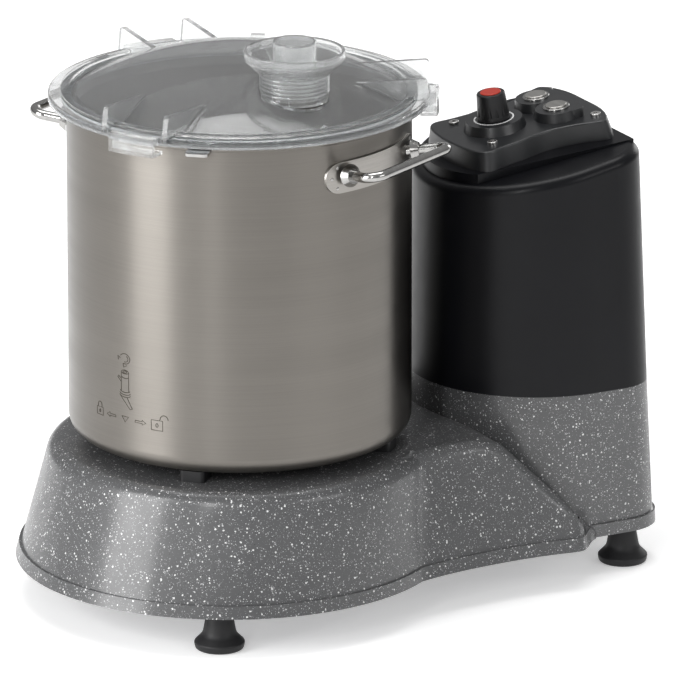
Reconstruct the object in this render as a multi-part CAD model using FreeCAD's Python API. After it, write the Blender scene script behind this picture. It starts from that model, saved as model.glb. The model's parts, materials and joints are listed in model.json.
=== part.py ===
import FreeCAD, Part
import os
from math import atan2, cos, degrees, hypot, pi, radians, sin, sqrt, tan

# Vegetable chopping machine: a bowl cutter with a cast base, a lift-off steel bowl with a clear lid, an
# S-shaped knife on a belt-driven spindle, and a motor column with a control panel. Millimetres, +Z up.
# All pieces are drawn about the bowl's axis, with the front at -Y and the motor column at +X.
V = FreeCAD.Vector

# Clearances
PRESS = 0.02
RUNNING = 0.04
SLIDE = 0.3
LOOSE = 0.6

# Reach of the blocks that cut or trim, past every piece, and how far a cut runs past its surface
FAR = 400.0
OVER = 1.0

# Bowl
BOWL_RADIUS = 120.0
BOWL_BOTTOM = 120.0
BOWL_RIM = 357.0
BOWL_CORNER = 12.0
BOWL_WALL = 1.5
RIM_WIDTH = 3.5
RIM_RADIUS = BOWL_RADIUS + RIM_WIDTH
RIM_HEIGHT = 3.0
TUBE_RADIUS = 17.0
TUBE_WALL = 1.5
TUBE_TOP = 203.0
SUPPORT_INSET = 18.0
SUPPORT_RADIUS = BOWL_RADIUS - SUPPORT_INSET
SUPPORT_LENGTH = 20.0
SUPPORT_WIDTH = 18.0

# Cast base: bowl end
BASE_BOTTOM = 28.0
SEAT_TOP = 112.0
SEAT_LEDGE = 13.2
SEAT_RADIUS = BOWL_RADIUS + SEAT_LEDGE
SKIRT_SPREAD = 15.8
SKIRT_RADIUS = SEAT_RADIUS + SKIRT_SPREAD
SKIRT_SHIFT = -8.0
SHOULDER = 12.0
BASE_WALL = 5.0
BEAD = 2.0
BEAD_HEIGHT = 9.0

# Motor column, outline at the seam between the base and the cover
SEAM = 133.0
COLUMN_HALF = 91.0
COLUMN_GAP = 23.5
COLUMN_X = BOWL_RADIUS + COLUMN_GAP + COLUMN_HALF
COLUMN_DEPTH = 53.5
COLUMN_BACK = COLUMN_X + COLUMN_DEPTH
BACK_CORNER = 30.0
COLUMN_DRAFT = 0.035

# Cast base: fenders that run from the bowl end to the column, half of the outline at the bottom. The points
# go by distance from the bowl's axis up to the waist, and by distance from the column's middle after it.
FENDER_BOWL = [(9.0, SKIRT_RADIUS - 5.0), (34.0, SKIRT_RADIUS - 12.0), (73.0, SKIRT_RADIUS - 25.5)]
FENDER_COLUMN = [(-131.5, 25.7), (-103.5, 22.7), (-63.5, 22.0), (-37.5, 24.6), (-24.5, 25.0), (-14.5, 16.0),
                 (-3.5, 6.0)]
FENDER_SIDE = FENDER_BOWL + [(COLUMN_X + x, COLUMN_HALF + y) for x, y in FENDER_COLUMN]
FENDER_DRAFT = 0.28
FALL_FOOT = COLUMN_X + 0.5
FALL_RUN = 80.0
FALL_START = FALL_FOOT - FALL_RUN
FALL_ROUND = 40.0

# Motor cover
COVER_TAPER = 0.03
COVER_WALL = 3.5
COVER_EDGE = 7.0
SHOULDER_DROP = 5.8
SHOULDER_RISE = 0.055
PLATEAU_SIDE = [(COLUMN_X - 68.5, 42.0), (COLUMN_X + 20.5, 59.4), (COLUMN_X + 44.5, 63.0)]

# Control panel: a tilted frame with its origin on the panel's top, between the two front screws
PANEL_X = COLUMN_X - 49.4
PANEL_Z = 306.3
PANEL_TILT = 8.2
PANEL_HEIGHT = 13.8
PANEL_EDGE = [(-19.8, 0.0), (-17.9, 25.6), (-9.4, 41.4), (0.8, 40.2), (18.6, 38.3), (37.9, 35.5),
              (53.6, 38.2), (68.0, 43.6), (79.5, 47.8), (86.4, 38.6), (90.8, 0.0)]
PANEL_SPREAD = 1.05
PANEL_ROUND = 1.5
PANEL_SCREWS = [(0.0, 28.1), (80.0, 34.5)]
POD_HEIGHT = 6.6
KNOB_POD_RADIUS = 22.0
POD_DRAFT = 2.0
LOBE_RADIUS = 15.0
POD_BACK = 76.0
POD_HALF = 30.0

# Speed knob
KNOB_S = 17.6
KNOB_HEIGHT = 19.0
KNOB_RADIUS = 11.5
KNOB_TOP_RADIUS = 10.0
KNOB_FLUTES = 14
FLUTE_RADIUS = 1.3
KNOB_CAP_RADIUS = 7.4
KNOB_CAP_HEIGHT = 1.6
KNOB_STEM = 3.0

# Push buttons
BUTTON_S = 60.1
BUTTON_Y = 14.6
BUTTON_RADIUS = 7.5
BUTTON_RISE = 2.6
BUTTON_TRAVEL = 2.0
BEZEL_RADIUS = 9.5
BEZEL_HEIGHT = 1.5
SLEEVE_WALL = 1.0
SLEEVE_END = -24.0
SWITCH_DEPTH = 14.0
PLUNGER_RADIUS = 2.0
PLUNGER_REACH = 0.5
BUTTON_SKIRT = 10.0

# Potentiometer and control board under the panel
BUSHING_RADIUS = 4.5
POT_RADIUS = 12.0
POT_HEIGHT = 10.0
BOARD_DEPTH = 46.0
BOARD_LENGTH = 96.0
BOARD_WIDTH = 84.0
BOARD_THICK = 1.6
PILLAR_RADIUS = 4.0
SCREW_RADIUS = 2.0
SCREW_HEAD = 3.6
SCREW_HEAD_HEIGHT = 2.0

# Feet
FRONT_FOOT = (-73.5, SKIRT_RADIUS - 39.3)
REAR_FOOT = (COLUMN_X + 30.7, COLUMN_HALF - 14.6)
FOOT_RADIUS = 17.8
FOOT_NECK = 8.8
FOOT_FLARE = 5.0
FOOT_SCREW = 3.0
FOOT_SCREW_HEAD = 6.0
FOOT_SCREW_HEAD_HEIGHT = 4.0
FOOT_SCREW_SOCKET = 2.5
FOOT_SCREW_SEAT = 8.0
FOOT_SCREW_GRIP = 20.0
HOLE_END = 2.0
POST_RADIUS = 9.0
RIB_THICK = 6.0
FRONT_POST_LENGTH = 20.0
PLATE_THICK = 3.0
VENT_COUNT = 7
VENT_PITCH = 9.0
VENT_LENGTH = 46.0
VENT_WIDTH = 4.0

# Spindle line
SHAFT_RADIUS = 10.0
SHAFT_BOTTOM = 38.0
THREAD_RADIUS = 6.0
BEARING_RADIUS = 21.0
BEARING_WIDTH = 12.0
SEAL_WIDTH = 7.0
HOUSING_RADIUS = 27.0
HOUSING_BOTTOM = 62.0
HOUSING_LIP = 4.0
HOUSING_LIP_RADIUS = 14.0
HOUSING_FLANGE = 48.0
HOUSING_FLANGE_THICK = 5.0
HOUSING_SCREW_CIRCLE = 39.0
HOUSING_SCREW_GRIP = 10.0
SLEEVE_THICK = 2.5

# Belt drive
PULLEY_BOTTOM = 42.0
PULLEY_HEIGHT = 14.0
PULLEY_RIM = 1.5
DRIVEN_RADIUS = 40.0
DRIVE_RADIUS = 20.0
PULLEY_HUB_WALL = 6.0
PULLEY_RIM_WALL = 5.0
PULLEY_WEB_DEPTH = 4.5
BELT_THICK = 3.5

# Motor
MOTOR_X = COLUMN_X - 9.5
BRACKET_BOTTOM = 80.0
BRACKET_THICK = 5.0
BRACKET_EAR = 7.0
BRACKET_SCREW_GRIP = 12.0
BRACKET_SCREW_HEAD_HEIGHT = 3.0
BRACKET_FRONT = (COLUMN_X - 34.5, COLUMN_HALF - 19.0)
MOTOR_RADIUS = 54.0
MOTOR_WALL = 3.0
MOTOR_HEIGHT = 118.0
MOTOR_ROOF = 4.0
MOTOR_ROOF_SEAT = 2.0
STATOR_INNER = 32.0
STATOR_MARGIN = 18.0
AIR_GAP = 0.6
ROTOR_SHAFT = 7.5
MOTOR_BEARING = 17.5
MOTOR_BEARING_WIDTH = 11.0
MOTOR_HUB_WALL = 4.5
MOTOR_HUB_FLOOR = 2.5
WINDING_GAP = 2.0
WINDING_MARGIN = 5.0

# Bowl handles
HANDLE_ANGLES = (-62.5, 117.5)
HANDLE_PLATE_SPAN = 26.0
HANDLE_PLATE_LOW = 318.0
HANDLE_PLATE_HIGH = 340.0
HANDLE_PLATE_THICK = 1.5
HANDLE_ROD = 3.5
HANDLE_STAND = 30.5
HANDLE_REACH = BOWL_RADIUS + HANDLE_STAND
HANDLE_LEG = 36.0
HANDLE_HALF = 50.0
HANDLE_BEND = 9.0
HANDLE_LOW = 330.0
HANDLE_LIFT = 5.5
BOSS_BASE = 8.0
BOSS_TOP = 5.2
BOSS_HEIGHT = 5.0

# Knife
HUB_RADIUS = 23.0
HUB_BOTTOM = 126.0
HUB_TOP = 212.0
HUB_CAP = 6.0
HUB_FLANGE = 28.0
HUB_FLANGE_TOP = 133.0
BLADE_THICK = 3.0
BLADE_SPACING = 29.0
BLADE_GAP = 6.5
BLADE_REACH = BOWL_RADIUS - BOWL_WALL - BLADE_GAP
BLADE_SWEEP = 12.0
BLADE_FRONT = (BLADE_REACH - 40.0, 27.0)
BLADE_HOLLOW = (BLADE_REACH - 50.0, -9.0)
BLADE_TIP_WIDTH = 7.0
BLADE_ANGLES = (20.0, 110.0)
KNIFE_CAP_RADIUS = 20.0
KNIFE_CAP_HEIGHT = 20.0
KNIFE_CAP_WALL = 4.0
KNIFE_CAP_ROOF = 5.0

# Lid
LID_LEDGE = 9.2
LID_RADIUS = RIM_RADIUS + LID_LEDGE
LID_SEAL_THICK = 1.6
LID_FLANGE_THICK = 5.4
LID_WALL = 3.0
DOME_RADIUS = 240.0
LID_BEAD_HEIGHT = 2.0
LID_EDGE = 1.5
LID_SKIRT = BOWL_RADIUS - BOWL_WALL - 2.5
DOME_FOOT = LID_SKIRT - LID_WALL
LID_BEAD = (RIM_RADIUS - 5.0, RIM_RADIUS + 0.5)
LID_SKIRT_DEPTH = 8.0
LUG_ANGLES = (90.0, -30.0, -150.0)
FIN_OFFSET = 24.5
FIN_THICK = 4.0
FIN_TOP = (LID_RADIUS - 2.0, 380.0)
FIN_TIP = (LID_RADIUS - 50.7, 376.5)
FIN_MIDDLE = DOME_FOOT - 3.0
KEY_HALF = 5.0
CLIP_HALF = 18.0
CLIP_STAND = 6.3
CLIP_OUTER = LID_RADIUS + CLIP_STAND
CLIP_WALL = 2.2
CLIP_BOTTOM = 351.0
CLIP_LIP = 2.4
CLIP_LIP_INNER = RIM_RADIUS + 3.5
LOCK_TURN = 20.0
KEY_ANGLE = 57.0
TAB_HALF = 8.0
TAB_THICK = 2.0

# Feed funnel and pusher
FUNNEL_X = 6.0
FUNNEL_EDGE = 49.0
FUNNEL_Y = FUNNEL_EDGE - BOWL_RADIUS
NECK_RADIUS = 23.4
THROAT_RADIUS = 15.8
SPIGOT_RISE = 17.0
FUNNEL_SPIGOT = BOWL_RIM + SPIGOT_RISE
NECK_LENGTH = 19.0
NECK_TOP = FUNNEL_SPIGOT + NECK_LENGTH
FUNNEL_RADIUS = 35.0
CONE_HEIGHT = 10.0
CONE_TOP = NECK_TOP + CONE_HEIGHT
COLLAR_HEIGHT = 6.5
FUNNEL_TOP = CONE_TOP + COLLAR_HEIGHT
FUNNEL_WALL = 2.4
FUNNEL_STEP = 0.4
NECK_STEP = 1.2
PUSHER_STAND = 6.5
PUSHER_TOP = FUNNEL_TOP + PUSHER_STAND
PUSHER_WALL = 2.0
PUSHER_COLLAR = 20.5
PUSHER_COLLAR_THICK = 2.0

# Cable gland, low at the back
GLAND_Z = 62.0
GLAND_RADIUS = 10.0
GLAND_BORE = 4.5
GLAND_NECK = 8.0
GLAND_COLLAR = 2.0
GLAND_LENGTH = 21.0
GLAND_NUT = 12.0
GLAND_NUT_THICK = 5.0

# Half the machine's length back from the bowl's axis: the origin that the pieces are written about
COLUMN_FOOT_BACK = COLUMN_BACK + COLUMN_DRAFT * (SEAM - BASE_BOTTOM) + BEAD
ORIGIN_X = (COLUMN_FOOT_BACK + SKIRT_SHIFT - SKIRT_RADIUS - BEAD) / 2


def cylinder(radius, low, high, x=0.0, y=0.0):
    return Part.makeCylinder(radius, high - low, V(x, y, low))


def ring(outer, inner, low, high, x=0.0, y=0.0):
    return cylinder(outer, low, high, x, y).cut(cylinder(inner, low - 1, high + 1, x, y))


def block(x0, x1, y0, y1, z0, z1):
    return Part.makeBox(x1 - x0, y1 - y0, z1 - z0, V(x0, y0, z0))


def turned(shape, angle):
    copy = shape.copy()
    copy.rotate(V(0, 0, 0), V(0, 0, 1), angle)
    return copy


def moved(shape, x=0.0, y=0.0, z=0.0):
    copy = shape.copy()
    copy.translate(V(x, y, z))
    return copy


def mirrored(shape):
    return shape.mirror(V(0, 0, 0), V(0, 1, 0))


def rounded(points, radii, closed=True):
    """Wire through points, with each corner turned by an arc of its own radius."""
    stations = []
    for index, corner in enumerate(points):
        if radii[index] == 0:
            stations.append((corner, corner, corner))
            continue
        back = (points[index - 1] - corner).normalize()
        ahead = (points[(index + 1) % len(points)] - corner).normalize()
        half = back.getAngle(ahead) / 2
        reach = radii[index] / tan(half)
        middle = (back + ahead).normalize() * (radii[index] / sin(half) - radii[index])
        stations.append((corner + back * reach, corner + middle, corner + ahead * reach))
    edges = []
    for index, (start, middle, end) in enumerate(stations):
        if start != end:
            edges.append(Part.Arc(start, middle, end).toShape())
        if closed or index + 1 < len(stations):
            following = stations[(index + 1) % len(stations)][0]
            edges.append(Part.LineSegment(end, following).toShape())
    return Part.Wire(edges)


def revolved(points, radii=None, x=0.0, y=0.0):
    """Solid of revolution of a closed (radius, height) outline about the vertical line at x, y."""
    corners = [V(radius, 0, height) for radius, height in points]
    wire = rounded(corners, radii or [0] * len(points))
    return moved(Part.Face(wire).revolve(V(0, 0, 0), V(0, 0, 1), 360), x, y)


def extruded(wire, height):
    return Part.Face(wire).extrude(V(0, 0, height))


def edges_at(shape, test):
    return [edge for edge in shape.Edges if test(edge)]


def round_top(shape, radius, height):
    """Fillet the edges that lie wholly at one height."""
    return shape.makeFillet(radius, edges_at(shape, lambda e: lies_at(e.BoundBox, height)))


def lies_at(box, height):
    return abs(box.ZMin - height) < 0.01 and abs(box.ZMax - height) < 0.01


def group(shapes):
    return Part.makeCompound(shapes)


# Base: bowl end, fenders and the column's foot


def slope(height):
    """How far down the base a height is: 0 at the seat, 1 at the bottom."""
    return (SEAT_TOP - height) / (SEAT_TOP - BASE_BOTTOM)


def skirt_circle(height, inset):
    radius = SEAT_RADIUS + (SKIRT_RADIUS - SEAT_RADIUS) * slope(height) - inset
    return Part.Wire(Part.makeCircle(radius, V(SKIRT_SHIFT * slope(height), 0, height)))


def bowl_end(inset, low):
    top = SEAT_TOP - max(inset, 0)
    cone = Part.makeLoft([skirt_circle(low, inset), skirt_circle(top, inset)], True, True)
    return round_top(cone, SHOULDER - max(inset, 0), top)


def fender_outline(height, inset):
    drop = inset + FENDER_DRAFT * (height - BASE_BOTTOM)
    side = [V(x, -(y - drop), height) for x, y in FENDER_SIDE]
    front = Part.BSplineCurve()
    front.interpolate(side)
    front = front.toShape()
    back = mirrored(front)
    ends = [Part.LineSegment(side[0], V(side[0].x, -side[0].y, height)).toShape(),
            Part.LineSegment(side[-1], V(side[-1].x, -side[-1].y, height)).toShape()]
    return Part.Wire(Part.sortEdges([front, back] + ends)[0])


def fenders(inset, low):
    top = SEAT_TOP - max(inset, 0)
    body = Part.makeLoft([fender_outline(low, inset), fender_outline(top, inset)], True, True)
    above = SEAT_TOP + 20
    ahead = FALL_FOOT + FALL_RUN
    below = BASE_BOTTOM - (SEAT_TOP - BASE_BOTTOM)
    drop = top - SEAT_TOP
    fall = rounded([V(0, 0, top), V(FALL_START, 0, top), V(ahead, 0, below + drop), V(ahead, 0, above),
                    V(0, 0, above)], [0, FALL_ROUND, 0, 0, 0])
    cutter = moved(Part.Face(fall).extrude(V(0, 2 * SKIRT_RADIUS, 0)), y=-SKIRT_RADIUS)
    return body.cut(cutter)


def column_outline(height, half, back, corner):
    """Plan of the column: a round nose towards the bowl, straight sides and rounded back corners."""
    nose = Part.Arc(V(COLUMN_X, half, height), V(COLUMN_X - half, 0, height), V(COLUMN_X, -half, height))
    near = corner * (1 - cos(pi / 4))
    edges = [nose.toShape(),
             Part.LineSegment(V(COLUMN_X, -half, height), V(back - corner, -half, height)).toShape(),
             Part.Arc(V(back - corner, -half, height), V(back - near, near - half, height),
                      V(back, corner - half, height)).toShape(),
             Part.LineSegment(V(back, corner - half, height), V(back, half - corner, height)).toShape(),
             Part.Arc(V(back, half - corner, height), V(back - near, half - near, height),
                      V(back - corner, half, height)).toShape(),
             Part.LineSegment(V(back - corner, half, height), V(COLUMN_X, half, height)).toShape()]
    return Part.Wire(edges)


def column_foot(inset, low, high):
    wires = []
    for height in (low, high):
        grow = COLUMN_DRAFT * (SEAM - height) - inset
        wires.append(column_outline(height, COLUMN_HALF + grow, COLUMN_BACK + grow, BACK_CORNER - inset))
    return Part.makeLoft(wires, True, True)


def base_form(inset, low, column_top):
    form = bowl_end(inset, low).fuse(fenders(inset, low))
    return form.fuse(column_foot(inset, low, column_top)).removeSplitter()


def foot_places():
    return [(x, side * y) for x, y in (FRONT_FOOT, REAR_FOOT) for side in (-1, 1)]


def posts(outer):
    """Posts inside the casting, each on a rib from the wall, for the feet and for the motor bracket."""
    shapes = []
    for x, y in (FRONT_FOOT, REAR_FOOT, BRACKET_FRONT):
        low = BASE_BOTTOM + PLATE_THICK
        if (x, y) == BRACKET_FRONT:
            low = BRACKET_BOTTOM - FRONT_POST_LENGTH
        post = cylinder(POST_RADIUS, low, BRACKET_BOTTOM, x, y)
        rib = block(x - RIB_THICK / 2, x + RIB_THICK / 2, y, y + 4 * POST_RADIUS, low, BRACKET_BOTTOM)
        both = post.fuse(rib)
        shapes += [both, mirrored(both)]
    return [shape.common(outer) for shape in shapes]


def base_body():
    outer = base_form(0, BASE_BOTTOM, SEAM)
    inner = base_form(BASE_WALL, BASE_BOTTOM - 1, SEAM + 1)
    bead = base_form(-BEAD, BASE_BOTTOM, SEAM)
    bead = bead.common(block(-FAR, FAR, -FAR, FAR, BASE_BOTTOM, BASE_BOTTOM + BEAD_HEIGHT))
    casting = outer.fuse(bead).cut(inner)
    for post in posts(outer):
        casting = casting.fuse(post)
    casting = casting.removeSplitter()
    cuts = [cylinder(HOUSING_RADIUS + LOOSE, SEAT_TOP - 2 * SHOULDER, SEAT_TOP + OVER)]
    foot_hole_end = BASE_BOTTOM + PLATE_THICK + FOOT_SCREW_GRIP + HOLE_END
    for x, y in foot_places():
        cuts.append(cylinder(FOOT_SCREW + PRESS, BASE_BOTTOM, foot_hole_end, x, y))
    bracket_hole_end = BRACKET_BOTTOM - BRACKET_SCREW_GRIP - HOLE_END
    for x, y in bracket_places():
        cuts.append(cylinder(SCREW_RADIUS + PRESS, bracket_hole_end, BRACKET_BOTTOM + OVER, x, y))
    housing_hole_end = SEAT_TOP - HOUSING_SCREW_GRIP - HOLE_END
    for x, y in housing_screw_places():
        cuts.append(cylinder(SCREW_RADIUS + PRESS, housing_hole_end, SEAT_TOP + OVER, x, y))
    cuts.append(along_x(GLAND_NECK + PRESS, gland_seat() - GLAND_LENGTH, gland_seat() + OVER))
    return casting.cut(cuts)


def bracket_places():
    return [(x, side * y) for x, y in (REAR_FOOT, BRACKET_FRONT) for side in (-1, 1)]


def housing_screw_places():
    return circle_places(HOUSING_SCREW_CIRCLE, 4, 0)


def circle_places(radius, count, start):
    angles = [radians(start + 360 * index / count) for index in range(count)]
    return [(radius * cos(angle), radius * sin(angle)) for angle in angles]


def bottom_plate():
    slab = block(-FAR, FAR, -FAR, FAR, BASE_BOTTOM, BASE_BOTTOM + PLATE_THICK)
    plate = base_form(BASE_WALL + LOOSE, BASE_BOTTOM - 1, SEAM).common(slab)
    cuts = []
    for x, y in foot_places():
        cuts.append(cylinder(FOOT_SCREW + PRESS, BASE_BOTTOM - 1, SEAT_TOP, x, y))
    for index in range(VENT_COUNT):
        x = MOTOR_X + VENT_PITCH * (index - (VENT_COUNT - 1) / 2)
        slot = block(x - VENT_WIDTH / 2, x + VENT_WIDTH / 2, -VENT_LENGTH / 2, VENT_LENGTH / 2, 0, SEAT_TOP)
        cuts.append(slot)
    return plate.cut(cuts)


def rubber_feet():
    outline = [(FOOT_SCREW_HEAD + LOOSE, 0), (FOOT_RADIUS - 1, 0), (FOOT_RADIUS, FOOT_FLARE),
               (FOOT_NECK + 3, FOOT_FLARE + 6), (FOOT_NECK, BASE_BOTTOM), (FOOT_SCREW + PRESS, BASE_BOTTOM),
               (FOOT_SCREW + PRESS, FOOT_SCREW_SEAT), (FOOT_SCREW_HEAD + LOOSE, FOOT_SCREW_SEAT)]
    radii = [0, 2, 2, 8, 0, 0, 0, 0]
    return group([revolved(outline, radii, x, y) for x, y in foot_places()])


def foot_screws():
    screws = []
    low = FOOT_SCREW_SEAT - FOOT_SCREW_HEAD_HEIGHT
    end = BASE_BOTTOM + PLATE_THICK + FOOT_SCREW_GRIP
    for x, y in foot_places():
        head = cylinder(FOOT_SCREW_HEAD, low, FOOT_SCREW_SEAT, x, y)
        head = head.cut(cylinder(FOOT_SCREW_SOCKET, low - OVER, low + FOOT_SCREW_HEAD_HEIGHT / 2, x, y))
        screws.append(head.fuse(cylinder(FOOT_SCREW, FOOT_SCREW_SEAT, end, x, y)))
    return group(screws)


def bowl_supports():
    """Four pads under the bowl's floor, spread round the seat."""
    pads = []
    inner = SUPPORT_RADIUS - SUPPORT_LENGTH / 2
    half = SUPPORT_WIDTH / 2
    for angle in (45, 135, 225, 315):
        pad = block(inner, inner + SUPPORT_LENGTH, -half, half, SEAT_TOP, BOWL_BOTTOM)
        upright = edges_at(pad, lambda e: e.BoundBox.ZLength > (BOWL_BOTTOM - SEAT_TOP) / 2)
        pads.append(turned(pad.makeFillet(3, upright), angle))
    return group(pads)


def along_x(radius, start, end):
    """Round bar along the cable gland's axis."""
    return Part.makeCylinder(radius, end - start, V(start, 0, GLAND_Z), V(1, 0, 0))


def column_wall(height):
    """The column's back face at a height below the seam."""
    return COLUMN_BACK + COLUMN_DRAFT * (SEAM - height)


def gland_seat():
    """The collar clears the leaning wall at its lowest point."""
    return column_wall(GLAND_Z - GLAND_RADIUS) + PRESS


def cable_gland():
    seat = gland_seat()
    barrel = along_x(GLAND_NECK, seat + GLAND_COLLAR - GLAND_LENGTH, seat)
    collar = along_x(GLAND_RADIUS, seat, seat + GLAND_COLLAR)
    bore = along_x(GLAND_BORE, seat - GLAND_LENGTH, seat + 2 * GLAND_COLLAR)
    return barrel.fuse(collar).cut(bore)


def gland_nut():
    """Six-sided nut that clears the leaning wall at its highest corner."""
    face = column_wall(GLAND_Z + GLAND_NUT) - BASE_WALL - PRESS
    low = face - GLAND_NUT_THICK
    corners = circle_places(GLAND_NUT, 6, 30)
    wire = Part.makePolygon([V(low, y, GLAND_Z + z) for y, z in corners + corners[:1]])
    nut = Part.Face(wire).extrude(V(GLAND_NUT_THICK, 0, 0))
    return nut.cut(along_x(GLAND_NECK + PRESS, low - OVER, face + OVER))


# Motor cover and control panel


def tilted(shape):
    """Place a shape drawn in the panel's own frame: x up the slope, z out of the panel's top."""
    copy = shape.copy()
    copy.rotate(V(0, 0, 0), V(0, 1, 0), -PANEL_TILT)
    copy.translate(V(PANEL_X, 0, PANEL_Z))
    return copy


def above_plane(depth, extra=0.0):
    """Everything above a plane of the panel's frame, or above one that rises more steeply."""
    slab = block(-FAR, FAR, -FAR, FAR, 0, FAR)
    slab.rotate(V(0, 0, 0), V(0, 1, 0), -degrees(extra))
    slab.translate(V(0, 0, depth))
    return tilted(slab)


def cover_low(inset):
    wires = []
    top = PANEL_Z + 20
    for height in (SEAM - (1 if inset else 0), top):
        shrink = COVER_TAPER * (height - SEAM) + inset
        wires.append(column_outline(height, COLUMN_HALF - shrink, COLUMN_BACK - shrink, BACK_CORNER - inset))
    body = Part.makeLoft(wires, True, True)
    body = body.cut(above_plane(-PANEL_HEIGHT - SHOULDER_DROP - inset, SHOULDER_RISE))
    rim = edges_at(body, lambda e: e.BoundBox.ZMin > SEAM + 50 and e.BoundBox.ZMax < top - 5
                   and on_rim(e, inset))
    return body.makeFillet(COVER_EDGE - inset, rim)


def on_rim(edge, inset):
    """True for an edge that lies in the cover's sloping top plane."""
    slant = radians(PANEL_TILT) + SHOULDER_RISE
    normal = V(-sin(slant), 0, cos(slant))
    start = V(PANEL_X, 0, PANEL_Z) + V(-sin(radians(PANEL_TILT)), 0, cos(radians(PANEL_TILT))) * (
        -PANEL_HEIGHT - SHOULDER_DROP - inset)
    return all(abs((vertex.Point - start).dot(normal)) < 0.05 for vertex in edge.Vertexes)


def plateau(inset):
    """Raised middle of the cover's top, which carries the control panel."""
    front = COLUMN_X - sqrt((COLUMN_X - PLATEAU_SIDE[0][0]) ** 2 + PLATEAU_SIDE[0][1] ** 2) + inset
    side = [(x - (inset if x > COLUMN_X else 0), y - inset) for x, y in PLATEAU_SIDE]
    low = SEAM + 60
    path = [V(x, -y, low) for x, y in side] + [V(x, y, low) for x, y in reversed(side)]
    edges = [Part.Arc(path[-1], V(front, 0, low), path[0]).toShape()]
    for start, end in zip(path, path[1:]):
        edges.append(Part.LineSegment(start, end).toShape())
    body = extruded(Part.Wire(edges), 200).cut(above_plane(-PANEL_HEIGHT - inset))
    return body


def motor_cover():
    outer = cover_low(0).fuse(plateau(0))
    cover = outer.cut([cover_low(COVER_WALL), plateau(COVER_WALL)])
    cuts = [tilted(cylinder(BUSHING_RADIUS + LOOSE, -60, 1, KNOB_S))]
    for side in (-1, 1):
        cuts.append(tilted(cylinder(BEZEL_RADIUS - SLEEVE_WALL + LOOSE, -60, 1, BUTTON_S, side * BUTTON_Y)))
    for s, y in panel_places():
        cuts.append(tilted(cylinder(SCREW_RADIUS + LOOSE, -60, 1, s, y)))
    return cover.cut(cuts)


def panel_places():
    return [(s, side * y) for s, y in PANEL_SCREWS for side in (-1, 1)]


def panel_outline(depth, spread):
    middle = (PANEL_EDGE[0][0] + PANEL_EDGE[-1][0]) / 2
    near = [V(middle + (s - middle) * spread, -y * spread, depth) for s, y in PANEL_EDGE]
    far = [V(point.x, -point.y, depth) for point in reversed(near[1:-1])]
    curve = Part.BSplineCurve()
    curve.interpolate(near + far, True)
    return Part.Wire(curve.toShape())


def knob_pod():
    return Part.makeCone(KNOB_POD_RADIUS + POD_DRAFT / 2, KNOB_POD_RADIUS - POD_DRAFT, POD_HEIGHT + 2,
                         V(KNOB_S, 0, -2))


def button_pod():
    """Two round lobes about the buttons, bridged behind them."""
    lobes = []
    for side in (-1, 1):
        centre = V(BUTTON_S, side * BUTTON_Y, -2)
        lobes.append(Part.makeCone(LOBE_RADIUS + POD_DRAFT, LOBE_RADIUS, POD_HEIGHT + 2, centre))
    front = BUTTON_S + 2
    corners = [V(front, -POD_HALF, -2), V(POD_BACK, -POD_HALF, -2), V(POD_BACK, POD_HALF, -2),
               V(front, POD_HALF, -2)]
    bridge = extruded(rounded(corners, [5, 7, 7, 5]), POD_HEIGHT + 2)
    return lobes[0].fuse([lobes[1], bridge]).removeSplitter()


def control_panel():
    slab = Part.makeLoft([panel_outline(-PANEL_HEIGHT, PANEL_SPREAD), panel_outline(0, 1.0)], True, True)
    slab = round_top(slab, PANEL_ROUND, 0)
    panel = slab.fuse([knob_pod(), button_pod()])
    cuts = [cylinder(BUSHING_RADIUS + PRESS, -20, 20, KNOB_S)]
    for side in (-1, 1):
        cuts.append(cylinder(BEZEL_RADIUS - SLEEVE_WALL + PRESS, -20, 20, BUTTON_S, side * BUTTON_Y))
    for s, y in panel_places():
        cuts.append(cylinder(SCREW_RADIUS + PRESS, -20, 20, s, y))
    return tilted(panel.cut(cuts))


def panel_screws():
    screws = []
    for s, y in panel_places():
        head = cylinder(SCREW_HEAD, 0, SCREW_HEAD_HEIGHT, s, y)
        head = head.makeFillet(0.6, [edge for edge in head.Edges if edge.BoundBox.ZMin > 1])
        socket = cylinder(1.5, SCREW_HEAD_HEIGHT - 1.2, SCREW_HEAD_HEIGHT + 1, s, y)
        screws.append(tilted(head.cut(socket).fuse(cylinder(SCREW_RADIUS, -PANEL_HEIGHT - 12, 0, s, y))))
    return group(screws)


def panel_pillars():
    """Threaded pillars that the panel's screws pull up, and that the board hangs from."""
    top = -PANEL_HEIGHT - COVER_WALL
    pillars = []
    for s, y in panel_places():
        pillar = cylinder(PILLAR_RADIUS, BOARD_THICK - BOARD_DEPTH, top, s, y)
        pillars.append(tilted(pillar.cut(cylinder(SCREW_RADIUS + PRESS, -PANEL_HEIGHT - 12.5, 0, s, y))))
    return group(pillars)


def button_bezels():
    bezels = []
    inner = BUTTON_RADIUS + SLIDE / 2
    for side in (-1, 1):
        y = side * BUTTON_Y
        flange = ring(BEZEL_RADIUS, inner, POD_HEIGHT, POD_HEIGHT + BEZEL_HEIGHT, BUTTON_S, y)
        rim = edges_at(flange, lambda e: e.BoundBox.XLength > 1.9 * BEZEL_RADIUS
                       and e.BoundBox.ZMin > POD_HEIGHT + 0.1)
        flange = flange.makeFillet(0.7, rim)
        sleeve = ring(BEZEL_RADIUS - SLEEVE_WALL, inner, SLEEVE_END, POD_HEIGHT, BUTTON_S, y)
        bezels.append(tilted(flange.fuse(sleeve)))
    return group(bezels)


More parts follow.
